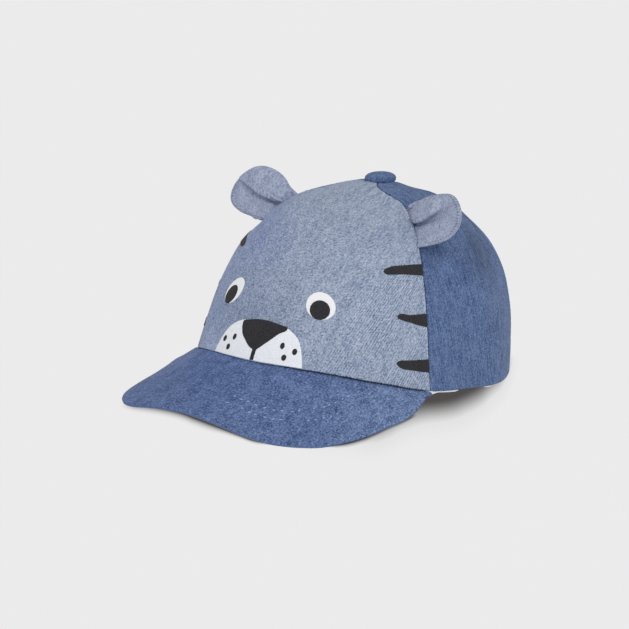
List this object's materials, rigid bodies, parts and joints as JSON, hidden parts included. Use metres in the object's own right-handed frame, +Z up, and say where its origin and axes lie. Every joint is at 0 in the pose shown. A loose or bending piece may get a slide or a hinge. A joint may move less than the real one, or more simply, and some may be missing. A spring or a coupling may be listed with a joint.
{
  "type": "toddler's cap",
  "caption": "Small denim cap with a curved peak, a light front panel with an embroidered animal face, two ears in the front seams and a covered button on top.",
  "frame": {"origin": "middle of the whole cap on the surface it stands on", "axes": "-Y the way the peak points, +X to the wearer's left, +Z up"},
  "size_m": [0.141, 0.2201, 0.0983],
  "materials": {
    "light_denim": "light blue chambray twill, heathered, matt",
    "dark_denim": "washed mid-blue denim with slubs along the warp, matt",
    "white_cotton": "white cotton tape",
    "white_thread": "white satin-stitch embroidery, slight thread sheen",
    "black_thread": "charcoal satin-stitch embroidery, slight thread sheen"
  },
  "bodies": {
    "root": {"front_panel": "light_denim", "side_panel_left": "dark_denim", "side_panel_right": "dark_denim", "back_panel_left": "dark_denim", "back_panel_right": "dark_denim", "visor": "dark_denim", "sweatband": "white_cotton", "button": "dark_denim", "ear_left": "light_denim", "ear_right": "light_denim", "muzzle": "white_thread", "nose": "black_thread", "eye_white_left": "white_thread", "pupil_left": "black_thread", "whisker_dot_left_1": "black_thread", "whisker_dot_left_2": "black_thread", "whisker_dot_left_3": "black_thread", "stripe_left_1": "black_thread", "stripe_left_2": "black_thread", "stripe_left_3": "black_thread", "eye_white_right": "white_thread", "pupil_right": "black_thread", "whisker_dot_right_1": "black_thread", "whisker_dot_right_2": "black_thread", "whisker_dot_right_3": "black_thread", "stripe_right_1": "black_thread", "stripe_right_2": "black_thread", "stripe_right_3": "black_thread"}
  },
  "joints": []
}
